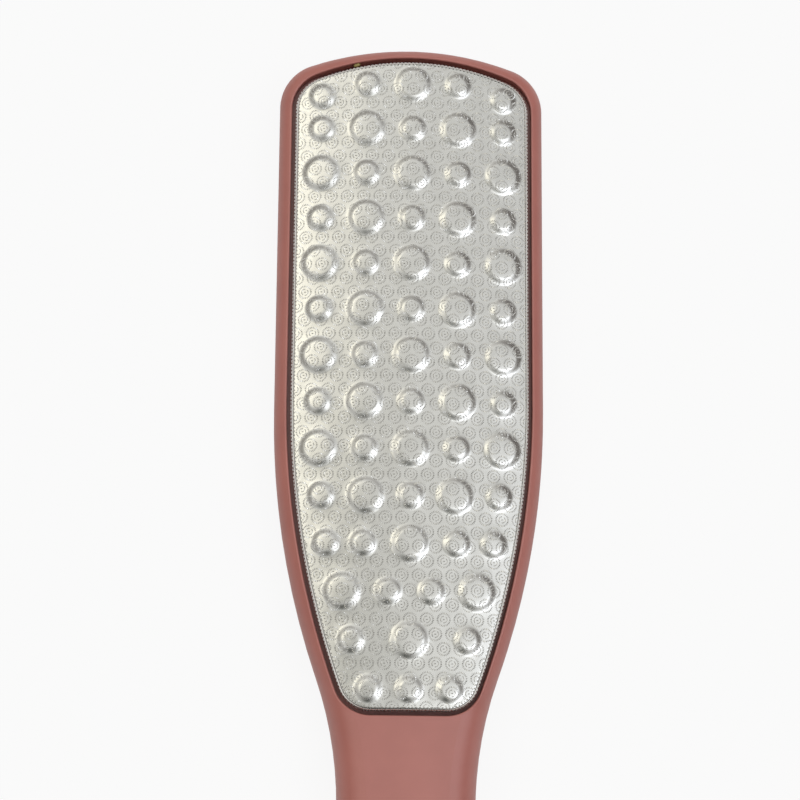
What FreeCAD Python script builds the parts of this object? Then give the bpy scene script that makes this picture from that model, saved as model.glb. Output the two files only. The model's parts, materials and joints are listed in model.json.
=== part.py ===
"""Paddle foot file: a crowned two-shell body with a domed coarse plate in front and a flat fine plate behind.

Millimetres. +Z is up and out of the coarse face, +Y runs from the handle to the head, +X is to the right.
The origin is under the middle of the part, on the surface that the fine plate lies on.
"""
import FreeCAD, Part
import collections
import math
import os

Vector = FreeCAD.Vector
FRONT = 1
REAR = -1

SIZES = [
    # Plan outline of the body
    ("overall_length", "260"),
    ("head_width", "54"),
    ("head_arch_radius", "72"),
    ("head_corner_radius", "9"),
    ("shoulder_from_top", "75.3"),
    ("neck_from_top", "153.6"),
    ("neck_width", "26.9"),
    ("palm_from_end", "51"),
    ("palm_width", "31"),
    # Crowned form of the two shells, measured from the parting plane
    ("front_crest", "7.2"),
    ("rear_crest", "5.2"),
    ("front_crown_radius", "110"),
    ("rear_crown_radius", "400"),
    ("head_roll_radius", "3.6"),
    ("front_handle_roll_radius", "6.0"),
    ("rear_handle_roll_radius", "4.0"),
    ("seam_chamfer", "0.25"),
    # Recess for a plate, the same on both faces
    ("rim_width", "2.55"),
    ("rim_end_width", "2.4"),
    ("recess_arch_radius", "57.6"),
    ("recess_head_radius", "7.4"),
    ("recess_end_from_top", "136"),
    ("recess_corner_radius", "7.3"),
    ("recess_taper_lead", "1.6"),
    ("recess_radius_extra", "6.5"),
    ("recess_floor", "3.0"),
    ("floor_thickness", "1.4"),
    ("lip_radius", "0.3"),
    # Hollow, ribs and joint of the shells
    ("head_wall", "2.4"),
    ("handle_wall", "4.0"),
    ("handle_roof", "3.2"),
    ("rib_thickness", "1.2"),
    ("rib_clearance", "0.15"),
    ("boss_diameter", "5.6"),
    ("pin_diameter", "2.4"),
    ("pin_length", "1.2"),
    ("pin_clearance", "0.05"),
    ("tongue_inset", "0.8"),
    ("tongue_width", "0.8"),
    ("tongue_height", "0.7"),
    ("tongue_clearance", "0.08"),
    ("hang_hole_diameter", "6"),
    ("hang_hole_wall", "2.2"),
    ("hang_hole_chamfer", "0.5"),
    # Plates, their backing pads and the glue films
    ("plate_gap", "0.85"),
    ("plate_proud", "0.6"),
    ("plate_sheet", "0.4"),
    ("plate_edge_radius", "0.7"),
    ("plate_skirt", "1.5"),
    ("backing_clearance", "0.5"),
    ("glue_film", "0.1"),
    ("glue_inset", "0.8"),
    # Domes pressed into the coarse plate
    ("dome_height", "0.9"),
    ("large_dome_diameter", "7.1"),
    ("small_dome_diameter", "5.1"),
    ("dome_flank", "0.65"),
    ("dome_shoulder_radius", "0.45"),
    ("dome_top_margin", "5.15"),
    ("dome_end_margin", "4.15"),
    ("overrun", "1.0"),
]

# Part of an S-curve's length that its first arc takes: head to neck, and neck to palm
TAPER_SHARE = 0.68
SWELL_SHARE = 0.5
# Dome rows: places across the plate as shares of its half width there
REGULAR_SHARES = (-0.782, -0.391, 0.0, 0.391, 0.782)
ELEVENTH_SHARES = (-0.783, -0.437, 0.0, 0.437, 0.783)
TWELFTH_SHARES = (-0.691, -0.222, 0.222, 0.691)
THIRTEENTH_SHARES = (-0.688, 0.0, 0.688)
LAST_SHARES = (-0.594, 0.0, 0.594)
# How far the outer pair of the first row drops to follow the arched end, in row pitches
CORNER_DROP_SHARE = 0.27
REGULAR_ROWS = 10
DOME_ROWS = 14
# Ribs and bosses, as shares of the recess length from the head end and of the head's half width
HEAD_RIB_SHARES = (0.14, 0.38, 0.62, 0.86)
HEAD_BOSS_PLACE_SHARES = ((0.26, 0.62), (0.74, 0.55))
# Ribs and bosses along the handle, as shares of the way from the plate's end to the hang hole
HANDLE_RIB_SHARES = (0.2, 0.4, 0.6, 0.8)
HANDLE_BOSS_SHARES = (0.1, 0.5)
# How much of the wall under a crown its rolled edge may take
ROLL_ROOM_SHARE = 0.9
# How near counts as touching, as a share of the smallest size in play
NEAR_SHARE = 0.1

doc = FreeCAD.newDocument("foot_file")
sheet = doc.addObject("Spreadsheet::Sheet", "Sizes")
for row, (alias, value) in enumerate(SIZES, start=1):
    sheet.set(f"A{row}", alias)
    sheet.set(f"B{row}", value)
    sheet.setAlias(f"B{row}", alias)
doc.recompute()


def size(alias):
    return float(sheet.get(alias))


# Derived places along the length
HEAD_TOP = size("overall_length") / 2
HANDLE_END = -size("overall_length") / 2
SHOULDER_Y = HEAD_TOP - size("shoulder_from_top")
NECK_Y = HEAD_TOP - size("neck_from_top")
PALM_Y = HANDLE_END + size("palm_from_end")
HANG_HOLE_Y = HANDLE_END + size("palm_width") / 2
RECESS_END_Y = HEAD_TOP - size("recess_end_from_top")


def at(x, y):
    return Vector(x, y, 0)


def arc(centre, radius, start_angle, end_angle):
    """An arc from one angle to another, either way round, in radians."""
    points = []
    for angle in (start_angle, (start_angle + end_angle) / 2, end_angle):
        points.append(at(centre[0] + radius * math.cos(angle), centre[1] + radius * math.sin(angle)))
    return Part.Arc(*points)


def mirrored(curve):
    """The same curve on the other side of the Y axis, running the other way."""
    if isinstance(curve, Part.LineSegment):
        return Part.LineSegment(at(-curve.EndPoint.x, curve.EndPoint.y), at(-curve.StartPoint.x, curve.StartPoint.y))
    first, last = curve.FirstParameter, curve.LastParameter
    points = [curve.value(last), curve.value((first + last) / 2), curve.value(first)]
    return Part.Arc(*[at(-point.x, point.y) for point in points])


def head_end(half_width, top, arch_centre_y, corner_radius):
    """Right half of the arched head end: the arch's half angle and the corner arc down to the straight side."""
    arch_radius = top - arch_centre_y
    corner_x = half_width - corner_radius
    corner_y = arch_centre_y + math.sqrt((arch_radius - corner_radius) ** 2 - corner_x ** 2)
    angle = math.atan2(corner_y - arch_centre_y, corner_x)
    arch = arc((0, arch_centre_y), arch_radius, math.pi - angle, angle)
    return arch, arc((corner_x, corner_y), corner_radius, angle, 0), corner_y


def s_curve(from_x, from_y, to_x, to_y, share):
    """Two tangent arcs down from one upright stretch to another, inwards or outwards."""
    if from_x == to_x:
        return [Part.LineSegment(at(from_x, from_y), at(to_x, to_y))]
    turn = 2 * math.atan((from_x - to_x) / (from_y - to_y))
    total = (from_y - to_y) / math.sin(turn)
    first, second = total * share, total * (1 - share)
    return [
        arc((from_x - first, from_y), first, 0, -turn),
        arc((to_x + second, to_y), second, math.pi - turn, math.pi),
    ]


def taper_radius():
    """Radius of the outward bulge between the head's straight side and the neck."""
    drop = (size("head_width") - size("neck_width")) / 2
    length = SHOULDER_Y - NECK_Y
    return TAPER_SHARE * length / math.sin(2 * math.atan(drop / length))


def body_outline(inset):
    """Closed outline of the whole paddle, set in by one distance all round."""
    half_head = size("head_width") / 2 - inset
    half_neck = size("neck_width") / 2 - inset
    half_palm = size("palm_width") / 2 - inset
    arch_centre_y = HEAD_TOP - size("head_arch_radius")
    arch, corner, corner_y = head_end(half_head, HEAD_TOP - inset, arch_centre_y, size("head_corner_radius") - inset)
    right = [corner, Part.LineSegment(at(half_head, corner_y), at(half_head, SHOULDER_Y))]
    right += s_curve(half_head, SHOULDER_Y, half_neck, NECK_Y, TAPER_SHARE)
    right += s_curve(half_neck, NECK_Y, half_palm, PALM_Y, SWELL_SHARE)
    right.append(Part.LineSegment(at(half_palm, PALM_Y), at(half_palm, HANG_HOLE_Y)))
    tail = arc((0, HANG_HOLE_Y), half_palm, 0, -math.pi)
    return [arch] + right + [tail] + [mirrored(curve) for curve in reversed(right)]


def recess_outline(inset):
    """Closed outline of the plate recess, set in by one distance all round."""
    half_width = size("head_width") / 2 - size("rim_width") - inset
    top = HEAD_TOP - size("rim_end_width")
    arch_centre_y = top - size("recess_arch_radius")
    corner_radius = size("recess_head_radius") - inset
    arch, corner, corner_y = head_end(half_width, top - inset, arch_centre_y, corner_radius)
    side_y = SHOULDER_Y + size("recess_taper_lead")
    side_radius = taper_radius() + size("recess_radius_extra") - inset
    side_centre = (half_width - side_radius, side_y)
    end_y = RECESS_END_Y + inset
    end_radius = size("recess_corner_radius") - inset
    end_centre_y = end_y + end_radius
    reach = side_radius - end_radius
    end_centre_x = side_centre[0] + math.sqrt(reach ** 2 - (end_centre_y - side_y) ** 2)
    turn = math.atan2(end_centre_y - side_y, end_centre_x - side_centre[0])
    right = [
        corner,
        Part.LineSegment(at(half_width, corner_y), at(half_width, side_y)),
        arc(side_centre, side_radius, 0, turn),
        arc((end_centre_x, end_centre_y), end_radius, turn, -math.pi / 2),
    ]
    end_line = Part.LineSegment(at(end_centre_x, end_y), at(-end_centre_x, end_y))
    return [arch] + right + [end_line] + [mirrored(curve) for curve in reversed(right)]


def half_width_at(y, inset):
    """Half width of the plate at a place along its length."""
    half_width = size("head_width") / 2 - size("rim_width") - inset
    side_y = SHOULDER_Y + size("recess_taper_lead")
    if y >= side_y:
        return half_width
    side_radius = taper_radius() + size("recess_radius_extra") - inset
    return half_width - side_radius + math.sqrt(side_radius ** 2 - (side_y - y) ** 2)


# Building blocks of a body


def origin_plane(body, role):
    for feature in body.Origin.OriginFeatures:
        if feature.Role == role:
            return feature
    raise LookupError(role)


def flat_sketch(body, name, curves, height):
    """A sketch parallel to the XY plane, at a height given as an expression."""
    sketch = body.newObject("Sketcher::SketchObject", name)
    sketch.AttachmentSupport = [(origin_plane(body, "XY_Plane"), "")]
    sketch.MapMode = "FlatFace"
    sketch.setExpression("AttachmentOffset.Base.z", height)
    sketch.addGeometry(curves, False)
    return sketch


def pad(body, name, sketch, length, upwards):
    feature = body.newObject("PartDesign::Pad", name)
    feature.Profile = sketch
    feature.setExpression("Length", length)
    feature.Reversed = not upwards
    doc.recompute()
    return feature


def pocket(body, name, sketch, length, upwards):
    """A cut that has to take something away."""
    before = body.Tip.Shape.Volume
    feature = body.newObject("PartDesign::Pocket", name)
    feature.Profile = sketch
    feature.setExpression("Length", length)
    feature.Reversed = upwards
    doc.recompute()
    if not feature.Shape.Volume < before:
        raise RuntimeError(f"{name} cuts nothing")
    return feature


def circles(places, diameter):
    return [Part.Circle(at(*place), Vector(0, 0, 1), diameter / 2) for place in places]


def bar(centre, width, length):
    """A closed rectangle."""
    x, y = centre
    corners = [
        at(x - width / 2, y - length / 2),
        at(x + width / 2, y - length / 2),
        at(x + width / 2, y + length / 2),
        at(x - width / 2, y + length / 2),
    ]
    return [Part.LineSegment(corners[i], corners[(i + 1) % len(corners)]) for i in range(len(corners))]


# The crowned outer form of a shell


def crown_radius(side):
    return size("front_crown_radius") if side == FRONT else size("rear_crown_radius")


def crest_name(side):
    return "Sizes.front_crest" if side == FRONT else "Sizes.rear_crest"


def crest(side):
    return size("front_crest") if side == FRONT else size("rear_crest")


def crown_lines(side, height, far_height):
    """The space between a crown, concentric with a shell's own, and a level line beyond it, seen along Y."""
    radius = crown_radius(side) + height - crest(side)
    reach = size("head_width") / 2 + size("overrun")
    edge = height - radius + math.sqrt(radius ** 2 - reach ** 2)
    left, middle, right = at(-reach, side * edge), at(0, side * height), at(reach, side * edge)
    far_left, far_right = at(-reach, side * far_height), at(reach, side * far_height)
    return [
        Part.Arc(left, middle, right),
        Part.LineSegment(right, far_right),
        Part.LineSegment(far_right, far_left),
        Part.LineSegment(far_left, left),
    ]


def crown_cut(body, name, side, height, far_height):
    """Cuts a body to a crown along its whole length."""
    before = body.Tip.Shape.Volume
    sketch = body.newObject("Sketcher::SketchObject", f"{name}Lines")
    sketch.AttachmentSupport = [(origin_plane(body, "XZ_Plane"), "")]
    sketch.MapMode = "FlatFace"
    sketch.addGeometry(crown_lines(side, height, far_height), False)
    feature = body.newObject("PartDesign::Pocket", name)
    feature.Profile = sketch
    feature.Type = "ThroughAll"
    feature.SideType = "Symmetric"
    doc.recompute()
    if not feature.Shape.Volume < before:
        raise RuntimeError(f"{name} cuts nothing")
    return feature


def smooth_step(value):
    value = min(max(value, 0.0), 1.0)
    return value * value * (3 - 2 * value)


def roll_room(side, half_width):
    """The largest radius that the upright wall under a crown's edge has room for."""
    radius = crown_radius(side)
    drop = radius - math.sqrt(radius ** 2 - half_width ** 2)
    wall = crest(side) - drop - size("seam_chamfer")
    half_corner = (math.pi / 2 + math.asin(half_width / radius)) / 2
    return ROLL_ROOM_SHARE * wall * math.tan(half_corner)


def roll_radius(side, y):
    """Radius of the rolled edge: small along the head, growing through the neck to the handle's own."""
    handle_name = "front_handle_roll_radius" if side == FRONT else "rear_handle_roll_radius"
    head = min(size("head_roll_radius"), roll_room(side, size("head_width") / 2))
    handle = min(size(handle_name), roll_room(side, max(size("palm_width"), size("neck_width")) / 2))
    return head + (handle - head) * smooth_step((SHOULDER_Y - y) / (SHOULDER_Y - NECK_Y))


def edges_off_parting_plane(shape, side):
    """Numbers of the edges where a crown meets the upright wall."""
    numbers = []
    for number, edge in enumerate(shape.Edges, start=1):
        level = min(side * vertex.Z for vertex in edge.Vertexes)
        if level > 2 * size("seam_chamfer"):
            numbers.append(number)
    return numbers


def one_way_round(shape, numbers):
    """The edges of a closed loop in order, each with its start and end, the way that the first one runs."""
    near = NEAR_SHARE * size("seam_chamfer")
    waiting = list(numbers)
    loop = []
    while waiting:
        for number in waiting:
            edge = shape.Edges[number - 1]
            start, end = edge.valueAt(edge.FirstParameter), edge.valueAt(edge.LastParameter)
            if loop and end.distanceToPoint(loop[-1][2]) < near:
                start, end = end, start
            if not loop or start.distanceToPoint(loop[-1][2]) < near:
                break
        else:
            raise RuntimeError("the edges don't form one loop")
        waiting.remove(number)
        loop.append((number, start, end))
    return loop


def seam_edges(shape):
    """Names of the edges that lie in the parting plane."""
    names = []
    for number, edge in enumerate(shape.Edges, start=1):
        if abs(edge.BoundBox.ZMax) + abs(edge.BoundBox.ZMin) < size("seam_chamfer") / 2:
            names.append(f"Edge{number}")
    return names


def outer_form(label, side):
    """The paddle outline, crowned across, with its edge rolled over and a fine chamfer at the seam."""
    block = doc.addObject("PartDesign::Body", f"{label}_block")
    outline = flat_sketch(block, "Outline", body_outline(0), "0")
    raised = pad(block, "Block", outline, f"{crest_name(side)} + Sizes.overrun", side == FRONT)
    seam = block.newObject("PartDesign::Chamfer", "Seam")
    seam.Base = (raised, seam_edges(raised.Shape))
    seam.setExpression("Size", "Sizes.seam_chamfer")
    doc.recompute()
    crown = crown_cut(block, "Crown", side, crest(side), crest(side) + 2 * size("overrun"))
    rolled = doc.addObject("Part::Fillet", f"{label}_rolled")
    rolled.Base = block
    rolled.Edges = [
        (number, roll_radius(side, start.y), roll_radius(side, end.y))
        for number, start, end in one_way_round(crown.Shape, edges_off_parting_plane(crown.Shape, side))
    ]
    doc.recompute()
    return rolled


# The inside of a shell


def head_boss_places():
    length = size("recess_end_from_top") - size("rim_end_width")
    half = size("head_width") / 2
    places = []
    for along_share, across_share in HEAD_BOSS_PLACE_SHARES:
        y = HEAD_TOP - size("rim_end_width") - along_share * length
        places += [(across_share * half * sign, y) for sign in (-1, 1)]
    return places


def handle_places(shares):
    start = RECESS_END_Y
    return [(0, start + share * (HANG_HOLE_Y - start)) for share in shares]


def hollow(body, side):
    """Room inside the head and the handle, with ribs that stop just short of the parting plane."""
    head_depth = "Sizes.recess_floor - Sizes.floor_thickness"
    handle_depth = f"{crest_name(side)} - Sizes.handle_roof"
    head_inset = size("head_wall") - size("rim_width")
    head_room = flat_sketch(body, "HeadRoom", recess_outline(head_inset), "0")
    pocket(body, "HeadHollow", head_room, head_depth, side == FRONT)
    half = size("neck_width") / 2 - size("handle_wall")
    start = RECESS_END_Y - size("floor_thickness")
    end = HANG_HOLE_Y
    room = [
        Part.LineSegment(at(-half, end), at(-half, start)),
        Part.LineSegment(at(-half, start), at(half, start)),
        Part.LineSegment(at(half, start), at(half, end)),
        arc((0, end), half, 0, -math.pi),
    ]
    pocket(body, "HandleHollow", flat_sketch(body, "HandleRoom", room, "0"), handle_depth, side == FRONT)
    gap = f"{side} * Sizes.rib_clearance"
    length = size("recess_end_from_top") - size("rim_end_width")
    head_ribs = []
    for share in HEAD_RIB_SHARES:
        y = HEAD_TOP - size("rim_end_width") - share * length
        width = 2 * half_width_at(y, head_inset) + size("head_wall") / 2
        head_ribs += bar((0, y), width, size("rib_thickness"))
    sketch = flat_sketch(body, "HeadRibLines", head_ribs, gap)
    pad(body, "HeadRibs", sketch, f"{head_depth} - Sizes.rib_clearance", side == FRONT)
    handle_ribs = []
    for place in handle_places(HANDLE_RIB_SHARES):
        handle_ribs += bar(place, 2 * half + size("handle_wall") / 2, size("rib_thickness"))
    sketch = flat_sketch(body, "HandleRibLines", handle_ribs, gap)
    pad(body, "HandleRibs", sketch, f"{handle_depth} - Sizes.rib_clearance", side == FRONT)
    spine = bar((0, RECESS_END_Y + length / 2), size("rib_thickness"), length)
    sketch = flat_sketch(body, "SpineLines", spine, gap)
    pad(body, "Spine", sketch, f"{head_depth} - Sizes.rib_clearance", side == FRONT)


def bosses(body, side):
    """Round bosses on the parting plane: pins on the rear shell, sockets for them in the front shell."""
    head = head_boss_places()
    handle = handle_places(HANDLE_BOSS_SHARES)
    diameter = size("boss_diameter")
    head_depth = "Sizes.recess_floor - Sizes.floor_thickness"
    handle_depth = f"{crest_name(side)} - Sizes.handle_roof"
    pad(body, "HeadBosses", flat_sketch(body, "HeadBossLines", circles(head, diameter), "0"), head_depth, side == FRONT)
    lines = flat_sketch(body, "HandleBossLines", circles(handle, diameter), "0")
    pad(body, "HandleBosses", lines, handle_depth, side == FRONT)
    if side == REAR:
        pins = flat_sketch(body, "PinLines", circles(head + handle, size("pin_diameter")), "0")
        pad(body, "Pins", pins, "Sizes.pin_length", True)
    else:
        bore = size("pin_diameter") + 2 * size("pin_clearance")
        sockets = flat_sketch(body, "SocketLines", circles(head + handle, bore), "0")
        pocket(body, "Sockets", sockets, "Sizes.pin_length + Sizes.rib_clearance", True)


def seam_joint(body, side):
    """A tongue round the rear shell's wall that lies in a groove round the front shell's wall."""
    inset, width = size("tongue_inset"), size("tongue_width")
    if side == REAR:
        lines = body_outline(inset) + body_outline(inset + width)
        pad(body, "Tongue", flat_sketch(body, "TongueLines", lines, "0"), "Sizes.tongue_height", True)
    else:
        clear = size("tongue_clearance")
        lines = body_outline(inset - clear) + body_outline(inset + width + clear)
        depth = "Sizes.tongue_height + Sizes.tongue_clearance"
        pocket(body, "Groove", flat_sketch(body, "GrooveLines", lines, "0"), depth, True)


def hang_hole(body, side):
    """A walled hole through the middle of the round handle end."""
    place = [(0, HANG_HOLE_Y)]
    diameter = size("hang_hole_diameter")
    wall = flat_sketch(body, "HangWallLine", circles(place, diameter + 2 * size("hang_hole_wall")), "0")
    pad(body, "HangWall", wall, f"{crest_name(side)} - Sizes.handle_roof", side == FRONT)
    hole = flat_sketch(body, "HangHoleLine", circles(place, diameter), "0")
    bored = pocket(body, "HangHole", hole, f"{crest_name(side)} + Sizes.overrun", side == FRONT)
    near = NEAR_SHARE * diameter
    mouth = []
    for number, edge in enumerate(bored.Shape.Edges, start=1):
        box = edge.BoundBox
        centred = abs(box.Center.y - HANG_HOLE_Y) + abs(box.Center.x) < near
        on_bore = abs(box.XLength - diameter) < near
        if centred and on_bore and side * box.Center.z > size("recess_floor"):
            mouth.append(f"Edge{number}")
    eased = body.newObject("PartDesign::Chamfer", "HangMouth")
    eased.Base = (bored, mouth)
    eased.setExpression("Size", "Sizes.hang_hole_chamfer")
    doc.recompute()


def plate_recess(body, side):
    """The stepped-down bed of a plate, with its lip eased."""
    lines = flat_sketch(body, "RecessLines", recess_outline(0), f"{side} * ({crest_name(side)} + Sizes.overrun)")
    depth = f"{crest_name(side)} + Sizes.overrun - Sizes.recess_floor"
    sunk = pocket(body, "Recess", lines, depth, side == REAR)
    wall = Part.Wire([curve.toShape() for curve in recess_outline(0)])
    names = []
    for number, edge in enumerate(sunk.Shape.Edges, start=1):
        middle = edge.valueAt((edge.FirstParameter + edge.LastParameter) / 2)
        low = min(side * vertex.Z for vertex in edge.Vertexes)
        foot = Part.Vertex(middle.x, middle.y, 0)
        upright = edge.BoundBox.XLength + edge.BoundBox.YLength < size("lip_radius")
        on_wall = wall.distToShape(foot)[0] < NEAR_SHARE * size("lip_radius")
        if on_wall and low > size("recess_floor") + size("lip_radius") and not upright:
            names.append(f"Edge{number}")
    eased = body.newObject("PartDesign::Fillet", "Lip")
    eased.Base = (sunk, names)
    eased.setExpression("Radius", "Sizes.lip_radius")
    doc.recompute()


def stand(part):
    """Lifts a finished piece so that the fine plate's face lies on the ground plane."""
    part.setExpression("Placement.Base.z", "Sizes.rear_crest + Sizes.plate_proud")
    return part


def shell(label, side):
    """One moulded half of the body."""
    body = doc.addObject("PartDesign::Body", label)
    body.BaseFeature = outer_form(label, side)
    doc.recompute()
    plate_recess(body, side)
    hollow(body, side)
    bosses(body, side)
    seam_joint(body, side)
    hang_hole(body, side)
    return stand(body)


# Plates, backing pads and glue films

Height = collections.namedtuple("Height", "value text")


def below_face(side, *names):
    """A height from the parting plane: a plate's outer face at its crest, less some sizes."""
    value = crest(side) + size("plate_proud") - sum(size(name) for name in names)
    return Height(value, f"{crest_name(side)} + Sizes.plate_proud" + "".join(f" - Sizes.{name}" for name in names))


def above_floor(*names):
    """A height from the parting plane: the recess floor, and some sizes more."""
    value = size("recess_floor") + sum(size(name) for name in names)
    return Height(value, "Sizes.recess_floor" + "".join(f" + Sizes.{name}" for name in names))


def crown_drop(side, height):
    """How much lower a crown lies at the head's edge than at its crest."""
    radius = crown_radius(side) + height - crest(side)
    return radius - math.sqrt(radius ** 2 - (size("head_width") / 2) ** 2)


def slab(label, side, inset, low, high, crowned_low=False, crowned_high=False):
    """A slab of the recess outline between two heights, each flat or crowned like the shell."""
    body = doc.addObject("PartDesign::Body", label)
    base, top = low.text, high.text
    if crowned_low:
        base = f"{low.text} - {crown_drop(side, low.value)}"
    if crowned_high:
        top = f"{high.text} + Sizes.overrun"
    sketch = flat_sketch(body, "Outline", recess_outline(inset), f"{side} * ({base})")
    pad(body, "Block", sketch, f"{top} - ({base})", side == FRONT)
    if crowned_high:
        crown_cut(body, "Crown", side, high.value, high.value + 2 * size("overrun"))
    if crowned_low:
        far = low.value - crown_drop(side, low.value) - size("overrun")
        crown_cut(body, "Underside", side, low.value, far)
    return body


def face_edges(shape, side, high, crowned):
    """Names of the edges round a slab's outer face."""
    radius = crown_radius(side) + high - crest(side)
    names = []
    for number, edge in enumerate(shape.Edges, start=1):
        off_face = []
        for value in (edge.FirstParameter, edge.LastParameter, (edge.FirstParameter + edge.LastParameter) / 2):
            point = edge.valueAt(value)
            level = side * point.z - high
            if crowned:
                level = math.hypot(point.x, level + radius) - radius
            off_face.append(abs(level))
        if max(off_face) < NEAR_SHARE * size("glue_film"):
            names.append(f"Edge{number}")
    return names


def pan(label, side, crowned):
    """A sheet with its edge turned down: the outer form and the space inside it."""
    gap, sheet_size = size("plate_gap"), size("plate_sheet")
    face, skirt = below_face(side), below_face(side, "plate_skirt")
    outer = slab(f"{label}_outside", side, gap, skirt, face, crowned, crowned)
    sharp = outer.Tip
    eased = outer.newObject("PartDesign::Fillet", "FaceEdge")
    eased.Base = (sharp, face_edges(sharp.Shape, side, face.value, crowned))
    eased.setExpression("Radius", "Sizes.plate_edge_radius")
    doc.recompute()
    under, deep = below_face(side, "plate_sheet"), below_face(side, "plate_skirt", "overrun")
    return outer, slab(f"{label}_inside", side, gap + sheet_size, deep, under, crowned, crowned)


def fused(label, shapes):
    feature = doc.addObject("Part::MultiFuse", label)
    feature.Shapes = shapes
    return feature


def cut(label, base, tool):
    feature = doc.addObject("Part::Cut", label)
    feature.Base = base
    feature.Tool = tool
    doc.recompute()
    return feature


def dome_places():
    """Place across, place along and diameter of every dome."""
    gap = size("plate_gap")
    small, large = size("small_dome_diameter"), size("large_dome_diameter")
    first_y = HEAD_TOP - size("rim_end_width") - gap - size("dome_top_margin")
    last_y = RECESS_END_Y + gap + size("dome_end_margin")
    pitch = (first_y - last_y) / (DOME_ROWS - 1)
    rows = []
    for number in range(REGULAR_ROWS):
        alternating = [large if (number + column) % 2 == 0 else small for column in range(len(REGULAR_SHARES))]
        rows.append(list(zip(REGULAR_SHARES, alternating)))
    rows[0][0] = (REGULAR_SHARES[0], small)
    rows[0][-1] = (REGULAR_SHARES[-1], small)
    rows.append(list(zip(ELEVENTH_SHARES, (small, small, large, small, small))))
    rows.append(list(zip(TWELFTH_SHARES, (large, small, small, large))))
    rows.append(list(zip(THIRTEENTH_SHARES, (small, large, small))))
    rows.append(list(zip(LAST_SHARES, (small, small, small))))
    places = []
    for number, row in enumerate(rows):
        for column, (share, diameter) in enumerate(row):
            y = first_y - number * pitch
            if number == 0 and column in (0, len(row) - 1):
                y -= CORNER_DROP_SHARE * pitch
            places.append((share * half_width_at(first_y - number * pitch, gap), y, diameter))
    return places


def dome_solid(diameter):
    """A flat-topped button with sloping flanks and a rounded shoulder, rooted in the sheet."""
    root = size("plate_sheet") / 2
    slope = size("dome_flank") / size("dome_height")
    foot = diameter / 2 + slope * root
    top = diameter / 2 - size("dome_flank")
    solid = Part.makeCone(foot, top, size("dome_height") + root, Vector(0, 0, -root))
    shoulder = max(solid.Edges, key=lambda edge: edge.BoundBox.ZMin)
    return solid.makeFillet(size("dome_shoulder_radius"), [shoulder])


def dome_hollow(diameter):
    """The space under a dome, one sheet thickness inside it."""
    depth = size("plate_sheet") + size("overrun") / 2
    height = size("dome_height") - size("plate_sheet")
    slope = size("dome_flank") / size("dome_height")
    wall = size("plate_sheet") * math.hypot(1, slope)
    foot = diameter / 2 + slope * depth - wall
    top = diameter / 2 - slope * height - wall
    return Part.makeCone(foot, top, depth + height, Vector(0, 0, -depth))


def on_crown(label, make):
    """A group of dome-shaped solids, each standing square to the crowned face."""
    radius = crown_radius(FRONT) + size("plate_proud")
    axis_height = size("front_crest") - crown_radius(FRONT)
    made = {name: make(size(name)) for name in ("small_dome_diameter", "large_dome_diameter")}
    solids = []
    for x, y, diameter in dome_places():
        name = "large_dome_diameter" if diameter == size("large_dome_diameter") else "small_dome_diameter"
        lean = math.asin(x / radius)
        solid = made[name].copy()
        place = Vector(x, y, axis_height + radius * math.cos(lean))
        solid.Placement = FreeCAD.Placement(place, FreeCAD.Rotation(Vector(0, 1, 0), math.degrees(lean)))
        solids.append(solid)
    group = doc.addObject("Part::Feature", label)
    group.Shape = Part.makeCompound(solids)
    return group


def coarse_plate():
    """The crowned rasp sheet with its pressed domes."""
    outer, inside = pan("coarse_pan", FRONT, True)
    raised = fused("coarse_pan_domed", [outer, on_crown("domes", dome_solid)])
    room = fused("coarse_pan_room", [inside, on_crown("dome_hollows", dome_hollow)])
    return stand(cut("coarse_plate", raised, room))


def fine_plate():
    """The flat fine sheet on the back."""
    outer, inside = pan("fine_pan", REAR, False)
    return stand(cut("fine_plate", outer, inside))


def bedding(name, side, crowned):
    """The backing pad of a plate with the glue films over and under it."""
    inset = size("plate_gap") + size("plate_sheet") + size("backing_clearance")
    film_inset = inset + size("glue_inset")
    floor, pad_low = above_floor(), above_floor("glue_film")
    pad_high = below_face(side, "plate_sheet", "glue_film")
    under = below_face(side, "plate_sheet")
    return [
        stand(slab(f"{name}_backing", side, inset, pad_low, pad_high, False, crowned)),
        stand(slab(f"{name}_plate_adhesive", side, film_inset, pad_high, under, crowned, crowned)),
        stand(slab(f"{name}_backing_adhesive", side, film_inset, floor, pad_low)),
    ]


parts = [shell("front_shell", FRONT), shell("rear_shell", REAR), coarse_plate(), fine_plate()]
parts += bedding("coarse", FRONT, True)
parts += bedding("fine", REAR, False)

doc.recompute()
for item in doc.Objects:
    if "Invalid" in item.State or "Error" in item.State:
        raise RuntimeError(f"{item.Label} failed: {item.State}")
for part in parts:
    if part.Shape.isNull() or not part.Shape.isValid() or len(part.Shape.Solids) != 1:
        raise RuntimeError(f"{part.Label} is not one valid solid")
os.makedirs("parts", exist_ok=True)
for part in parts:
    part.Shape.exportStep(f"parts/{part.Label}.step")
    print(part.Label, round(part.Shape.Volume, 1), part.Shape.BoundBox)
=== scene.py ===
"""Looks for the paddle foot file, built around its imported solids.

Metres, in the part's own frame: +Y runs from the handle to the head, +Z out of the coarse face.
"""
import json
import math

import bpy
import numpy as np
from mathutils import Matrix, Vector
from mathutils.geometry import delaunay_2d_cdt


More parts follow.
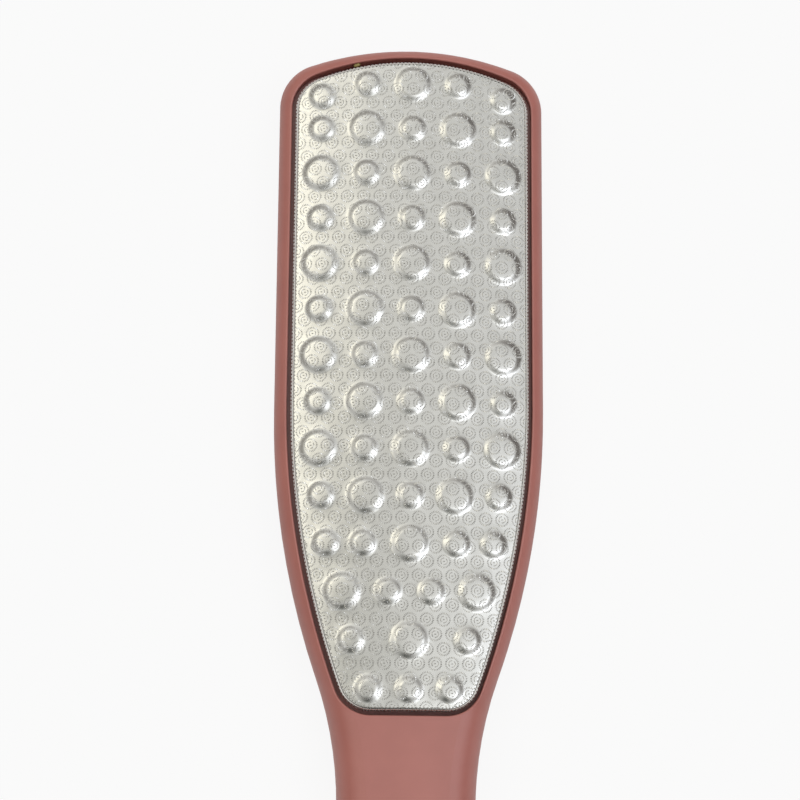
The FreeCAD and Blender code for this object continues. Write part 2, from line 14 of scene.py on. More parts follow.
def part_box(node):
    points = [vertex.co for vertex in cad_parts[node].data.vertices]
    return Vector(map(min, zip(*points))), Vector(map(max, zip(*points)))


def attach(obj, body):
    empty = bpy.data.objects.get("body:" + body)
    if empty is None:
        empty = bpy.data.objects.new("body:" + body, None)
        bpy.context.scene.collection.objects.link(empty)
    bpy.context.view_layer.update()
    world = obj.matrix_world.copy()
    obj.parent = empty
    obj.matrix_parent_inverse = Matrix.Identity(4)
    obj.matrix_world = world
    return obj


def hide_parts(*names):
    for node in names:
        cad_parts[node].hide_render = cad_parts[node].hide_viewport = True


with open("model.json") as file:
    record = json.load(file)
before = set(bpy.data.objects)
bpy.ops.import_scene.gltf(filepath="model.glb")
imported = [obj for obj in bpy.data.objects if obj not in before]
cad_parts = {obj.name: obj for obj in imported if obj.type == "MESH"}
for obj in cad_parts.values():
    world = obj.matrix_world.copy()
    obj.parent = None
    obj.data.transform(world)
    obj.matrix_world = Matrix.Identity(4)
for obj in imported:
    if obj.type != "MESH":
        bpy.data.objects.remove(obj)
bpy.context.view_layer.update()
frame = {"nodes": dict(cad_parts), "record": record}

MM = 0.001
BODY = "root"
UP = 1
DOWN = -1

# The photograph's camera: where it aims, how far off it stands and how it leans
IMAGE_WIDTH_PX = 800
FOCAL_PX = 2220
SENSOR_WIDTH = 36
CLIP_START = 10 * MM
AIM = Vector((-2.04, 56.2, 11.4)) * MM
CAMERA_DISTANCE = 440.7 * MM
CAMERA_TILT = math.radians(12.19)
CAMERA_SWING = math.radians(2.89)
CAMERA_ROLL = math.radians(0.46)

# Plan outline of both plates: arched head, bowed sides and round corners inside the coarse plate's box.
# The head ends a little short of the solid, so that the groove keeps its width there.
PLATE_LOW, PLATE_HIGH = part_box("coarse_plate")
PLATE_HALF = PLATE_HIGH.x
PLATE_TOP = PLATE_HIGH.y
PLATE_END = PLATE_LOW.y
HEAD_TRIM = 0.35 * MM
ARCH_CENTRE_Y = 70.0 * MM
HEAD_CORNER_RADIUS = 6.55 * MM
SIDE_START_Y = 56.3 * MM
SIDE_RADIUS = 164.05 * MM
END_CORNER_RADIUS = 6.45 * MM
OUTLINE_STEP = 0.5 * MM
OUTLINE_TEST_STEP = 2 * MM

# Section of the plates: sheet metal with a rolled edge and a skirt
CROWN_RADIUS = 110.6 * MM
SHEET = 0.4 * MM
SKIRT = 1.5 * MM
EDGE_RADIUS = 0.7 * MM
ROLL_STEPS = 7
INNER_ROLL_STEPS = 3

# Domes of the coarse plate, shown lower and softer than the room that the solid gives them
DOME_ROOM = 0.9 * MM
FACE_CREST = PLATE_HIGH.z - DOME_ROOM
DOME_HEIGHT = 0.53 * MM
LARGE_DOME = 7.1 * MM
SMALL_DOME = 5.1 * MM
DOME_FLANK = 0.65 * MM
FLANK_EASE = 0.56 * MM
PLATEAU_CROWN = 0.05 * MM
DOME_TOP_MARGIN = 5.15 * MM
DOME_END_MARGIN = 4.15 * MM
DOME_ROWS = 14
REGULAR_ROWS = 10
REGULAR_SHARES = (-0.782, -0.391, 0.0, 0.391, 0.782)
ELEVENTH_SHARES = (-0.783, -0.437, 0.0, 0.437, 0.783)
TWELFTH_SHARES = (-0.691, -0.222, 0.222, 0.691)
THIRTEENTH_SHARES = (-0.688, 0.0, 0.688)
LAST_SHARES = (-0.594, 0.0, 0.594)
CORNER_DROP_SHARE = 0.27

# Points that carry a plate's face, and the coarser ones that carry its inside
FACE_RINGS = 9
FACE_RING_STEP = 0.25 * MM
FACE_SPREAD = 1.4 * MM
INSIDE_RINGS = 4
INSIDE_RING_STEP = 1.0 * MM
INSIDE_SPREAD = 2.5 * MM
PLATEAU_RING_SHARES = (0.6, 0.25)
LEAST_RING_POINTS = 6
SPREAD_MARGIN_SHARE = 1 / 3
MERGE_DISTANCE = 1e-9

# Ring-shaped rasp teeth of the coarse plate
RING_PITCH = 3.285 * MM
RING_ORIGIN = Vector((-11.4, 106.3)) * MM
RING_DASHES = 24
DASH_INNER = 1.04 * MM
DASH_OUTER = 1.39 * MM
DASH_WIDTH = 0.21 * MM
INNER_RING_RADIUS = 0.65 * MM
INNER_RING_GAP = math.radians(34)
INNER_RING_LEAN = math.radians(-22)
INNER_RING_STEPS = 6
DOT_RADIUS = 0.21 * MM
TOOTH_HEIGHT = 0.041 * MM
TOOTH_SINK = 0.014 * MM
TOOTH_SLOPE_SHARE = 0.25
TOOTH_EDGE_SHARE = 0.8

# Small teeth of the fine plate, and the burrs along both plates' edges
FINE_PITCH = 1.15 * MM
FINE_LENGTH = 0.62 * MM
FINE_WIDTH = 0.5 * MM
FINE_HEIGHT = 0.07 * MM
BURR_PITCH = 0.76 * MM
BURR_WIDTH = 0.46 * MM
BURR_HEIGHT = 0.14 * MM
BURR_REACH = 0.1 * MM
BURR_DROP = 0.6 * MM

# Glue that squeezed up into the groove near the head end, with swells round it and up it
GLUE_PLACE = Vector((-11.35, 126.15, 11.5)) * MM
GLUE_RADII = Vector((0.66, 0.42, 0.5)) * MM
GLUE_LEAN = math.radians(11)
GLUE_ROUND_SWELL = 0.14
GLUE_ROUND_WAVES = 2
GLUE_ROUND_START = 1
GLUE_UPWARD_SWELL = 0.1
GLUE_UPWARD_WAVES = 3
GLUE_RINGS = 14
GLUE_SIDES = 24

# Finishes: each runs between two linear colours in soft clouds, and a grain gives it roughness and relief.
# Where a look says how close another surface has to be, its colour darkens there: painted shade in the groove
# round the plate and in other creases.
NOISE_RANGE = (0.3, 0.7)
CLOUD_DETAIL = 4
GRAIN_DETAIL = 2
LOOKS = {
    "rose_soft_touch": {
        "tones": ((0.565, 0.173, 0.136), (0.625, 0.198, 0.156)),
        "cloud_size": 9 * MM,
        "grain_size": 0.25 * MM,
        "grain_depth": 0.004 * MM,
        "roughness": (0.44, 0.54),
        "metallic": 0,
        "ior": 1.95,
        # Painted shade: the rose colour darkens within this distance of another surface, as in the groove
        # round the plate
        "painted_shade_reach": 1.5 * MM,
    },
    "satin_nickel": {
        "tones": ((0.73, 0.72, 0.68), (0.79, 0.78, 0.74)),
        "cloud_size": 2.6 * MM,
        "grain_size": 0.3 * MM,
        "grain_depth": 0.0012 * MM,
        "roughness": (0.22, 0.3),
        "metallic": 1,
        "ior": 1.5,
    },
    "grey_backing": {
        "tones": ((0.1, 0.1, 0.105), (0.13, 0.13, 0.14)),
        "cloud_size": 4 * MM,
        "grain_size": 0.6 * MM,
        "grain_depth": 0.02 * MM,
        "roughness": (0.6, 0.8),
        "metallic": 0,
        "ior": 1.5,
    },
    "amber_glue": {
        "tones": ((0.34, 0.26, 0.08), (0.5, 0.42, 0.17)),
        "cloud_size": 0.6 * MM,
        "grain_size": 0.3 * MM,
        "grain_depth": 0.02 * MM,
        "roughness": (0.25, 0.4),
        "metallic": 0,
        "ior": 1.5,
    },
}

# Floor a little under the part, which sweeps up far off: radius and height of its rings in metres.
# It is pale where it is seen, with a share of its own glow, and darker as a source of bounced light.
SWEEP_PROFILE = ((2.5, 0.0), (3.3, 0.02), (3.8, 0.12), (4.0, 0.3), (4.1, 0.55))
SWEEP_SIDES = 96
FLOOR_DROP = 0.05 * MM
FLOOR_PALE = 0.9
FLOOR_BOUNCE = 0.25
FLOOR_GLOW_SHARE = 0.9

# Light tent: heights where its rise starts and ends, and its colours there
TENT_RISE = (0.35, 0.85)
TENT_HORIZON = (0.075, 0.06, 0.05)
TENT_TOP = (0.78, 0.785, 0.775)
TENT_LEAST = (0.04, 0.04, 0.04)

# Lobes of the tent: a direction, a tightness and a colour to add
TENT_LOBES = (
    # Soft boxes at the left and the right
    ((-0.48, 0.31, 0.82), 30, (0.95, 0.89, 0.7)),
    ((0.54, -0.2, 0.82), 34, (2.1, 2.22, 2.48)),
    # Gaps between the panels
    ((0.55, 0.5, 0.67), 8, (-0.3, -0.3, -0.29)),
    ((-0.21, 0.02, 0.97), 60, (-0.5, -0.5, -0.5)),
    ((-0.1, -0.62, 0.78), 16, (-0.7, -0.7, -0.7)),
    # A small panel overhead
    ((0.16, -0.13, 0.98), 110, (0.72, 0.74, 0.76)),
    # Faint fill past the head and from both sides
    ((0.25, 0.83, 0.5), 8, (0.28, 0.28, 0.28)),
    ((0.75, 0.4, 0.53), 12, (0.2, 0.2, 0.2)),
    ((-0.5, 0.75, 0.43), 10, (0.18, 0.18, 0.17)),
    ((-0.82, 0.25, 0.52), 16, (0.16, 0.16, 0.15)),
)


# Plan outline of a plate


def arc_points(centre, radius, start, end, step):
    """Points along an arc without its last one."""
    count = max(2, math.ceil(abs(end - start) * radius / step))
    angles = start + (end - start) * np.arange(count) / count
    return np.column_stack((centre[0] + radius * np.cos(angles), centre[1] + radius * np.sin(angles)))


def line_points(start, end, step):
    """Points along a straight line without its last one."""
    start, end = np.array(start), np.array(end)
    count = max(2, math.ceil(np.linalg.norm(end - start) / step))
    return start + (end - start) * (np.arange(count) / count)[:, None]


def plate_loop(inset, step):
    """The plate's outline, set in all round: a closed loop of points that match from one inset to another."""
    half, top, end = PLATE_HALF, PLATE_TOP - HEAD_TRIM, PLATE_END
    arch_radius = top - ARCH_CENTRE_Y
    corner_x = half - HEAD_CORNER_RADIUS
    corner_y = ARCH_CENTRE_Y + math.sqrt((arch_radius - HEAD_CORNER_RADIUS) ** 2 - corner_x ** 2)
    arch_angle = math.atan2(corner_y - ARCH_CENTRE_Y, corner_x)
    side_x = half - SIDE_RADIUS
    end_y = end + END_CORNER_RADIUS
    end_x = side_x + math.sqrt((SIDE_RADIUS - END_CORNER_RADIUS) ** 2 - (end_y - SIDE_START_Y) ** 2)
    side_angle = math.atan2(end_y - SIDE_START_Y, end_x - side_x)
    quarter = math.pi / 2

    def arc(centre, radius, start, stop):
        points = arc_points(centre, radius, start, stop, step)
        away = (points - np.array(centre)) / radius
        return points - inset * away

    def line(start, stop, normal):
        return line_points(start, stop, step) - inset * np.array(normal)

    pieces = [
        arc((0, ARCH_CENTRE_Y), arch_radius, arch_angle, math.pi - arch_angle),
        arc((-corner_x, corner_y), HEAD_CORNER_RADIUS, math.pi - arch_angle, math.pi),
        line((-half, corner_y), (-half, SIDE_START_Y), (-1, 0)),
        arc((-side_x, SIDE_START_Y), SIDE_RADIUS, math.pi, math.pi - side_angle),
        arc((-end_x, end_y), END_CORNER_RADIUS, math.pi - side_angle, 3 * quarter),
        line((-end_x, end), (end_x, end), (0, -1)),
        arc((end_x, end_y), END_CORNER_RADIUS, -quarter, side_angle),
        arc((side_x, SIDE_START_Y), SIDE_RADIUS, side_angle, 0),
        line((half, SIDE_START_Y), (half, corner_y), (1, 0)),
        arc((corner_x, corner_y), HEAD_CORNER_RADIUS, 0, arch_angle),
    ]
    return np.vstack(pieces)


def half_width_at(y):
    """Half width of a plate along its length."""
    if y >= SIDE_START_Y:
        return PLATE_HALF
    return PLATE_HALF - SIDE_RADIUS + math.sqrt(SIDE_RADIUS ** 2 - (SIDE_START_Y - y) ** 2)


def inside_plate(points, margin):
    """Which points lie inside the outline by a margin: the outline is convex, so it is one test per edge."""
    loop = plate_loop(margin, OUTLINE_TEST_STEP)
    ahead = np.roll(loop, -1, axis=0) - loop
    inside = np.ones(len(points), bool)
    for start, way in zip(loop, ahead):
        offset = points - start
        inside &= way[0] * offset[:, 1] - way[1] * offset[:, 0] > 0
    return inside


# Height of the plates' faces


def smooth_step(value):
    """Eased rise from 0 to 1."""
    value = np.clip(value, 0, 1)
    return value * value * (3 - 2 * value)


def dome_places():
    """Place across, place along and base radius of every dome."""
    first_y = PLATE_TOP - DOME_TOP_MARGIN
    pitch = (first_y - PLATE_END - DOME_END_MARGIN) / (DOME_ROWS - 1)
    small, large = SMALL_DOME / 2, LARGE_DOME / 2
    rows = []
    for number in range(REGULAR_ROWS):
        radii = [large if (number + column) % 2 == 0 else small for column in range(len(REGULAR_SHARES))]
        rows.append(list(zip(REGULAR_SHARES, radii)))
    rows[0][0] = (REGULAR_SHARES[0], small)
    rows[0][-1] = (REGULAR_SHARES[-1], small)
    rows.append(list(zip(ELEVENTH_SHARES, (small, small, large, small, small))))
    rows.append(list(zip(TWELFTH_SHARES, (large, small, small, large))))
    rows.append(list(zip(THIRTEENTH_SHARES, (small, large, small))))
    rows.append(list(zip(LAST_SHARES, (small, small, small))))
    places = []
    for number, row in enumerate(rows):
        row_y = first_y - number * pitch
        for column, (share, radius) in enumerate(row):
            y = row_y
            if number == 0 and column in (0, len(row) - 1):
                y -= CORNER_DROP_SHARE * pitch
            places.append((share * half_width_at(row_y), y, radius))
    return places


DOMES = dome_places()


def crown_height(points):
    """The coarse face between its domes, bowed across the plate."""
    return FACE_CREST - CROWN_RADIUS + np.sqrt(CROWN_RADIUS ** 2 - points[:, 0] ** 2)


def dome_profile(distance, radius):
    """Height of a pressed dome by distance from its middle: an eased flank and a faintly crowned top."""
    height = DOME_HEIGHT - PLATEAU_CROWN
    width = DOME_FLANK + 2 * FLANK_EASE
    flank = smooth_step((radius + FLANK_EASE - distance) / width)
    crown = PLATEAU_CROWN * np.clip(1 - (distance / radius) ** 2, 0, 1)
    return height * flank + crown


def face_height(points):
    """The coarse face with its domes."""
    height = crown_height(points)
    for x, y, radius in DOMES:
        distance = np.hypot(points[:, 0] - x, points[:, 1] - y)
        near = distance < radius + FLANK_EASE
        height[near] += dome_profile(distance[near], radius)
    return height


def flat_height(points):
    """The fine face, measured from the surface it lies on, with room for its burrs and teeth."""
    return np.full(len(points), -BURR_HEIGHT)


# Meshes


def new_object(name, points, faces, smooth=True):
    """An object with a mesh of its own, in the scene."""
    mesh = bpy.data.meshes.new(name)
    mesh.from_pydata([tuple(point) for point in points], [], [tuple(face) for face in faces])
    mesh.validate()
    mesh.polygons.foreach_set("use_smooth", [smooth] * len(mesh.polygons))
    mesh.update()
    made = bpy.data.objects.new(name, mesh)
    bpy.context.scene.collection.objects.link(made)
    return made


def loop_quads(first, second):
    """Quads between two closed loops of corners that match."""
    following = [*range(1, len(first)), 0]
    return [(first[i], second[i], second[j], first[j]) for i, j in enumerate(following)]


def ring_quads(rings, sides):
    """Quads between closed rings of points that follow each other."""
    faces = []
    for ring in range(rings):
        first = range(ring * sides, (ring + 1) * sides)
        second = range((ring + 1) * sides, (ring + 2) * sides)
        faces += loop_quads(first, second)
    return faces


def staggered_points(low, high, step, row_step):
    """Rows of points over a rectangle, with every other row shifted by half a step."""
    rows = []
    for number, y in enumerate(np.arange(low[1], high[1], row_step)):
        across = np.arange(low[0] + step / 2 * (number % 2), high[0], step)
        rows.append(np.column_stack((across, np.full(len(across), y))))
    return np.vstack(rows)


def spread_points(boundary, domes, spread):
    """An even spread of points inside a plate's boundary and clear of its domes."""
    low, high = boundary.min(axis=0), boundary.max(axis=0)
    points = staggered_points(low, high, spread, spread * math.sqrt(3) / 2)
    free = inside_plate(points, EDGE_RADIUS + SPREAD_MARGIN_SHARE * spread)
    for x, y, radius in domes:
        reach = radius + FLANK_EASE + spread / 2
        free &= np.hypot(points[:, 0] - x, points[:, 1] - y) > reach
    return points[free]


def face_points(boundary, domes, ring_count, ring_step, spread):
    """Points that fill a plate's face: its boundary, rings round the domes and a spread between them."""
    groups = [boundary]
    for x, y, radius in domes:
        inner = radius - DOME_FLANK - FLANK_EASE
        rings = list(np.linspace(inner, radius + FLANK_EASE, ring_count))
        rings += [inner * share for share in PLATEAU_RING_SHARES]
        for ring in rings:
            count = max(LEAST_RING_POINTS, round(2 * math.pi * ring / ring_step))
            angles = 2 * math.pi * np.arange(count) / count
            groups.append(np.column_stack((x + ring * np.cos(angles), y + ring * np.sin(angles))))
    groups.append(spread_points(boundary, domes, spread))
    return np.vstack(groups)


def triangles(points):
    """Delaunay triangles over points whose outline is convex."""
    result = delaunay_2d_cdt([Vector(point) for point in points], [], [], 0, MERGE_DISTANCE)
    corners = np.array([tuple(point) for point in result[0]])
    return corners, [list(face) for face in result[2]]


def nearest(plan, wanted):
    """The number of the point of a plan that lies nearest to each wanted place."""
    return [int(np.argmin(np.hypot(plan[:, 0] - x, plan[:, 1] - y))) for x, y in wanted]


def edge_profile():
    """Inset and drop of each loop of a turned-down edge: over the roll, down the skirt and up inside it."""
    quarter = math.pi / 2
    loops = []
    for step in range(1, ROLL_STEPS + 1):
        angle = quarter * step / ROLL_STEPS
        loops.append((EDGE_RADIUS * (1 - math.sin(angle)), EDGE_RADIUS * (1 - math.cos(angle))))
    loops += [(0, SKIRT), (SHEET, SKIRT), (SHEET, EDGE_RADIUS)]
    inner = EDGE_RADIUS - SHEET
    for step in range(INNER_ROLL_STEPS - 1, 0, -1):
        angle = quarter * step / INNER_ROLL_STEPS
        loops.append((EDGE_RADIUS - inner * math.sin(angle), EDGE_RADIUS - inner * math.cos(angle)))
    return loops


def plate(name, height, edge_height, domes, side):
    """A sheet with a turned-down edge, facing up or down: its face, its edge and its inside."""
    boundary = plate_loop(EDGE_RADIUS, OUTLINE_STEP)
    face_plan = face_points(boundary, domes, FACE_RINGS, FACE_RING_STEP, FACE_SPREAD)
    inside_plan = face_points(boundary, domes, INSIDE_RINGS, INSIDE_RING_STEP, INSIDE_SPREAD)
    outer, faces = triangles(face_plan)
    inner, inner_faces = triangles(inside_plan)
    points = [np.column_stack((outer, side * height(outer)))]
    start = len(outer)
    previous = nearest(outer, boundary)
    for inset, drop in edge_profile():
        loop = plate_loop(inset, OUTLINE_STEP)
        points.append(np.column_stack((loop, side * (edge_height(loop) - drop))))
        current = range(start, start + len(loop))
        faces += loop_quads(previous, current)
        previous = current
        start += len(loop)
    points.append(np.column_stack((inner, side * (height(inner) - SHEET))))
    faces += loop_quads(previous, [start + corner for corner in nearest(inner, boundary)])
    faces += [[start + corner for corner in face[::-1]] for face in inner_faces]
    return new_object(name, np.vstack(points), [face[::side] for face in faces])


def ridges(starts, ends, width, height, surface, end_surface):
    """Low roof-shaped teeth, each from a start to an end in plan, standing on a surface."""
    along = ends - starts
    across = np.column_stack((-along[:, 1], along[:, 0]))
    across *= (width / 2 / np.linalg.norm(across, axis=1))[:, None]
    plans = [starts - across, starts + across, ends - across, ends + across]
    plans += [starts + TOOTH_SLOPE_SHARE * along, ends - TOOTH_SLOPE_SHARE * along]
    levels = [-TOOTH_SINK] * 4 + [height] * 2
    surfaces = [surface, surface, end_surface, end_surface, surface, end_surface]
    corners = []
    for plan, level, height_at in zip(plans, levels, surfaces):
        corners.append(np.column_stack((plan, height_at(plan) + level)))
    points = np.stack(corners, axis=1).reshape(-1, 3)
    pattern = [(0, 4, 1), (2, 3, 5), (0, 2, 5, 4), (1, 4, 5, 3)]
    faces = []
    for start in range(0, len(points), len(corners)):
        faces += [[start + corner for corner in face] for face in pattern]
    return points, faces


def ring_centres():
    """Hexagonal lattice of rings over the plate."""
    row_step = RING_PITCH * math.sqrt(3) / 2
    first_row = math.floor((PLATE_END - RING_ORIGIN.y) / row_step)
    last_row = math.ceil((PLATE_TOP - RING_ORIGIN.y) / row_step)
    reach = math.ceil(2 * PLATE_HALF / RING_PITCH)
    centres = []
    for row in range(first_row, last_row + 1):
        shift = RING_PITCH / 2 if row % 2 else 0
        for column in range(-reach, reach + 1):
            centres.append((RING_ORIGIN.x + shift + column * RING_PITCH, RING_ORIGIN.y + row * row_step))
    centres = np.array(centres)
    return centres[inside_plate(centres, -DASH_OUTER)]


def coarse_teeth():
    """Rings of short radial teeth round a broken inner ring and a point."""
    centres = ring_centres()
    starts, ends = [], []
    for dash in range(RING_DASHES):
        angle = 2 * math.pi * (dash + 0.5) / RING_DASHES
        way = np.array((math.cos(angle), math.sin(angle)))
        starts.append(centres + DASH_INNER * way)
        ends.append(centres + DASH_OUTER * way)
    sweep = math.pi - INNER_RING_GAP
    turns = sweep * np.arange(INNER_RING_STEPS + 1) / INNER_RING_STEPS
    for side in (0, math.pi):
        angles = side + INNER_RING_LEAN - sweep / 2 + turns
        ways = np.column_stack((np.cos(angles), np.sin(angles)))
        for first, second in zip(ways, ways[1:]):
            starts.append(centres + INNER_RING_RADIUS * first)
            ends.append(centres + INNER_RING_RADIUS * second)
    starts.append(centres - np.array((DOT_RADIUS, 0)))
    ends.append(centres + np.array((DOT_RADIUS, 0)))
    starts, ends = np.vstack(starts), np.vstack(ends)
    margin = TOOTH_EDGE_SHARE * EDGE_RADIUS
    kept = inside_plate(starts, margin) & inside_plate(ends, margin)
    return ridges(starts[kept], ends[kept], DASH_WIDTH, TOOTH_HEIGHT, face_height, face_height)


def edge_burrs(surface):
    """Small burrs over a plate's rolled edge."""
    inner = plate_loop(EDGE_RADIUS, BURR_PITCH)
    outer = plate_loop(-BURR_REACH, BURR_PITCH)
    return ridges(inner, outer, BURR_WIDTH, BURR_HEIGHT, surface, lambda plan: surface(plan) - BURR_DROP)


def fine_teeth():
    """Staggered pyramids of the fine plate."""
    low, high = (-PLATE_HALF, PLATE_END), (PLATE_HALF, PLATE_TOP)
    centres = staggered_points(low, high, FINE_PITCH, FINE_PITCH / 2)
    centres = centres[inside_plate(centres, EDGE_RADIUS + FINE_LENGTH / 2)]
    half = np.array((0, FINE_LENGTH / 2))
    return ridges(centres - half, centres + half, FINE_WIDTH, FINE_HEIGHT, flat_height, flat_height)


def teeth_object(name, groups, side):
    """One object from several groups of teeth, facing up or down."""
    points, faces = [], []
    start = 0
    for group_points, group_faces in groups:
        points.append(group_points * np.array((1, 1, side)))
        faces += [[start + corner for corner in face[::side]] for face in group_faces]
        start += len(group_points)
    return new_object(name, np.vstack(points), faces, smooth=False)


def glue_bead():
    """An irregular bead of glue between the plate's skirt and the recess wall."""
    points = []
    lean = Matrix.Rotation(GLUE_LEAN, 3, "Z")
    for ring in range(GLUE_RINGS + 1):
        polar = math.pi * ring / GLUE_RINGS
        out, up = math.sin(polar), math.cos(polar)
        for side in range(GLUE_SIDES):
            angle = 2 * math.pi * side / GLUE_SIDES
            swell = 1 + GLUE_ROUND_SWELL * math.sin(GLUE_ROUND_WAVES * angle + GLUE_ROUND_START) * out
            swell += GLUE_UPWARD_SWELL * math.sin(GLUE_UPWARD_WAVES * polar) * math.cos(angle)
            way = Vector((out * math.cos(angle), out * math.sin(angle), up))
            points.append(GLUE_PLACE + lean @ (way * GLUE_RADII) * swell)
    return new_object("glue_bead", points, ring_quads(GLUE_RINGS, GLUE_SIDES))


# Materials


def noise(tree, size, detail):
    """Noise by place on the object, with features of one size."""
    place = tree.nodes.new("ShaderNodeTexCoord")
    texture = tree.nodes.new("ShaderNodeTexNoise")
    texture.inputs["Scale"].default_value = 1 / size
    texture.inputs["Detail"].default_value = detail
    tree.links.new(place.outputs["Object"], texture.inputs["Vector"])
    return texture.outputs["Fac"]


def ramp(tree, value, positions, colours):
    """The ramp node that runs from one colour to another as a value goes from one position to another."""
    node = tree.nodes.new("ShaderNodeValToRGB")
    for element, position, colour in zip(node.color_ramp.elements, positions, colours):
        element.position = position
        element.color = (*colour, 1)
    tree.links.new(value, node.inputs["Fac"])
    return node


def finish(name, tones, cloud_size, grain_size, grain_depth, roughness, metallic, ior, painted_shade_reach=None):
    """A finish with clouded colour and a fine grain that varies its roughness and its relief, and where
    asked, painted shade that darkens the colour near other surfaces.
    """
    made = bpy.data.materials.new(name)
    made.use_nodes = True
    tree = made.node_tree
    shader = tree.nodes["Principled BSDF"]
    shader.inputs["Metallic"].default_value = metallic
    shader.inputs["IOR"].default_value = ior
    colour = ramp(tree, noise(tree, cloud_size, CLOUD_DETAIL), NOISE_RANGE, tones).outputs["Color"]
    # Painted shade: ambient occlusion darkens the base colour where another surface is close, as in the
    # groove round the plate
    if painted_shade_reach:
        shade = tree.nodes.new("ShaderNodeAmbientOcclusion")
        shade.inputs["Distance"].default_value = painted_shade_reach
        tree.links.new(colour, shade.inputs["Color"])
        colour = shade.outputs["Color"]
    tree.links.new(colour, shader.inputs["Base Color"])
    grain = noise(tree, grain_size, GRAIN_DETAIL)
    spread = tree.nodes.new("ShaderNodeMapRange")
    spread.inputs["From Min"].default_value, spread.inputs["From Max"].default_value = NOISE_RANGE
    spread.inputs["To Min"].default_value, spread.inputs["To Max"].default_value = roughness
    tree.links.new(grain, spread.inputs["Value"])
    tree.links.new(spread.outputs["Result"], shader.inputs["Roughness"])
    relief = tree.nodes.new("ShaderNodeBump")
    relief.inputs["Distance"].default_value = grain_depth
    tree.links.new(grain, relief.inputs["Height"])
    tree.links.new(relief.outputs["Normal"], shader.inputs["Normal"])
    return made


FINISHES = {slot: finish(slot, **look) for slot, look in LOOKS.items()}


def dress(made, slot):
    """Give an object the finish of a material slot."""
    made.data.materials.clear()
    made.data.materials.append(FINISHES[slot])


def add_piece(made, slot, *nodes):
    """Fasten a new piece to the body, in a slot's finish, in place of any nodes named."""
    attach(made, BODY)
    if nodes:
        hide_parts(*nodes)
    dress(made, slot)


# Camera, floor and light


def camera():
    """The photograph's camera."""
    level = math.cos(CAMERA_TILT)
    away = Vector((-math.sin(CAMERA_SWING) * level, -math.sin(CAMERA_TILT), math.cos(CAMERA_SWING) * level))
    right = Vector((0, 1, 0)).cross(away).normalized()
    up = away.cross(right)
    across = right * math.cos(CAMERA_ROLL) + up * math.sin(CAMERA_ROLL)
    upward = up * math.cos(CAMERA_ROLL) - right * math.sin(CAMERA_ROLL)
    data = bpy.data.cameras.new("camera")
    data.sensor_width = SENSOR_WIDTH
    data.lens = FOCAL_PX / IMAGE_WIDTH_PX * SENSOR_WIDTH
    data.clip_start = CLIP_START
    made = bpy.data.objects.new("camera", data)
    bpy.context.scene.collection.objects.link(made)
    turn = Matrix((across, upward, away)).transposed().to_4x4()
    made.matrix_world = Matrix.Translation(AIM + CAMERA_DISTANCE * away) @ turn
    bpy.context.scene.camera = made


def maths(tree, operation, first, second):
    """A maths node on an output and on another output or a number."""
    node = tree.nodes.new("ShaderNodeMath")
    node.operation = operation
    tree.links.new(first, node.inputs[0])
    if isinstance(second, (int, float)):
        node.inputs[1].default_value = second
    else:
        tree.links.new(second, node.inputs[1])
    return node.outputs[0]


def floor():
    """Plain pale floor with a far sweep: mostly its own white, partly lit so that it keeps a soft shadow."""
    points = []
    for radius, height in SWEEP_PROFILE:
        for side in range(SWEEP_SIDES):
            angle = 2 * math.pi * side / SWEEP_SIDES
            points.append((radius * math.cos(angle), radius * math.sin(angle), height - FLOOR_DROP))
    faces = [range(SWEEP_SIDES)] + ring_quads(len(SWEEP_PROFILE) - 1, SWEEP_SIDES)
    made = new_object("floor", points, faces)
    pale = bpy.data.materials.new("floor")
    pale.use_nodes = True
    tree = pale.node_tree
    shader = tree.nodes["Principled BSDF"]
    shader.inputs["Roughness"].default_value = 1
    path = tree.nodes.new("ShaderNodeLightPath")
    seen = maths(tree, "MAXIMUM", path.outputs["Is Camera Ray"], path.outputs["Is Glossy Ray"])
    seen = maths(tree, "MAXIMUM", seen, path.outputs["Is Transmission Ray"])
    pale_part = maths(tree, "MULTIPLY", seen, FLOOR_PALE - FLOOR_BOUNCE)
    tree.links.new(maths(tree, "ADD", pale_part, FLOOR_BOUNCE), shader.inputs["Base Color"])
    mix = tree.nodes.new("ShaderNodeMixShader")
    tree.links.new(maths(tree, "MULTIPLY", seen, FLOOR_GLOW_SHARE), mix.inputs["Fac"])
    tree.links.new(shader.outputs["BSDF"], mix.inputs[1])
    tree.links.new(tree.nodes.new("ShaderNodeEmission").outputs["Emission"], mix.inputs[2])
    tree.links.new(mix.outputs["Shader"], tree.nodes["Material Output"].inputs["Surface"])
    made.data.materials.append(pale)


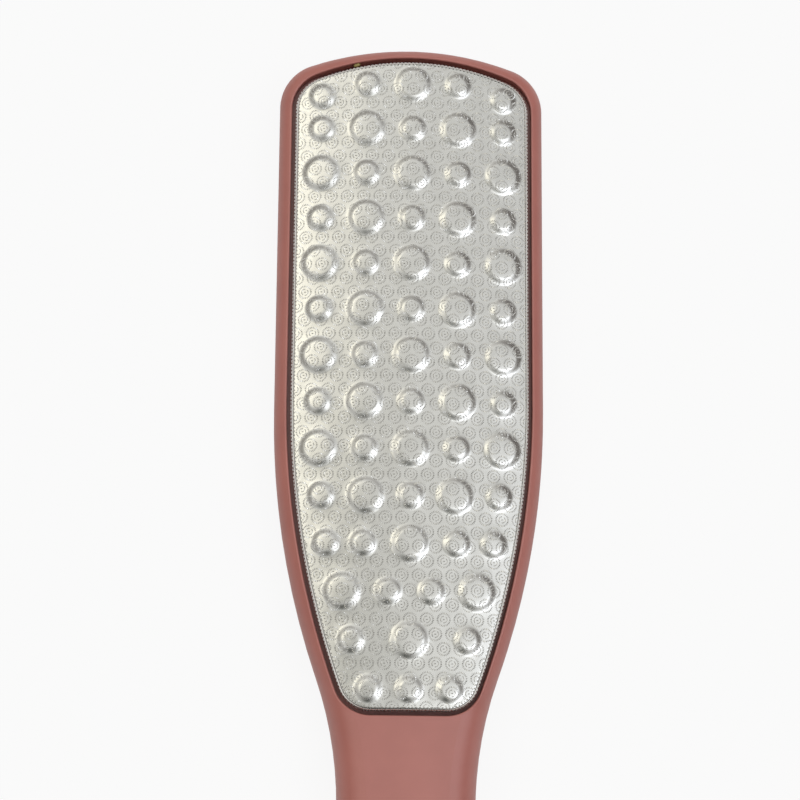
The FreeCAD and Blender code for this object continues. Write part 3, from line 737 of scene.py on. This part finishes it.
def light_tent():
    """Soft studio light all round: a sky that darkens to the horizon, with broad lobes added to it."""
    world = bpy.data.worlds.new("tent")
    bpy.context.scene.world = world
    world.use_nodes = True
    tree = world.node_tree
    way = tree.nodes.new("ShaderNodeTexCoord").outputs["Generated"]
    parts = tree.nodes.new("ShaderNodeSeparateXYZ")
    tree.links.new(way, parts.inputs["Vector"])
    sky = ramp(tree, parts.outputs["Z"], TENT_RISE, (TENT_HORIZON, TENT_TOP))
    sky.color_ramp.interpolation = "EASE"
    total = sky.outputs["Color"]
    for direction, tightness, colour in TENT_LOBES:
        facing = tree.nodes.new("ShaderNodeVectorMath")
        facing.operation = "DOT_PRODUCT"
        facing.inputs[1].default_value = Vector(direction).normalized()
        tree.links.new(way, facing.inputs[0])
        lobe = maths(tree, "POWER", maths(tree, "MAXIMUM", facing.outputs["Value"], 0), tightness)
        added = tree.nodes.new("ShaderNodeVectorMath")
        added.operation = "MULTIPLY_ADD"
        added.inputs[1].default_value = colour
        tree.links.new(lobe, added.inputs[0])
        tree.links.new(total, added.inputs[2])
        total = added.outputs["Vector"]
    lit = tree.nodes.new("ShaderNodeVectorMath")
    lit.operation = "MAXIMUM"
    lit.inputs[1].default_value = TENT_LEAST
    tree.links.new(total, lit.inputs[0])
    tree.links.new(lit.outputs["Vector"], tree.nodes["Background"].inputs["Color"])


# The dressed part


add_piece(plate("coarse_plate_sheet", face_height, crown_height, DOMES, UP), "satin_nickel", "coarse_plate")
add_piece(plate("fine_plate_sheet", flat_height, flat_height, [], DOWN), "satin_nickel", "fine_plate")
add_piece(teeth_object("coarse_plate_teeth", [coarse_teeth(), edge_burrs(crown_height)], UP), "satin_nickel")
add_piece(teeth_object("fine_plate_teeth", [fine_teeth(), edge_burrs(flat_height)], DOWN), "satin_nickel")
add_piece(glue_bead(), "amber_glue")
for row in frame["record"]["subparts"]:
    dress(frame["nodes"][row["node"]], row["material_slot"])

camera()
floor()
light_tent()
bpy.context.scene.view_settings.view_transform = "Standard"
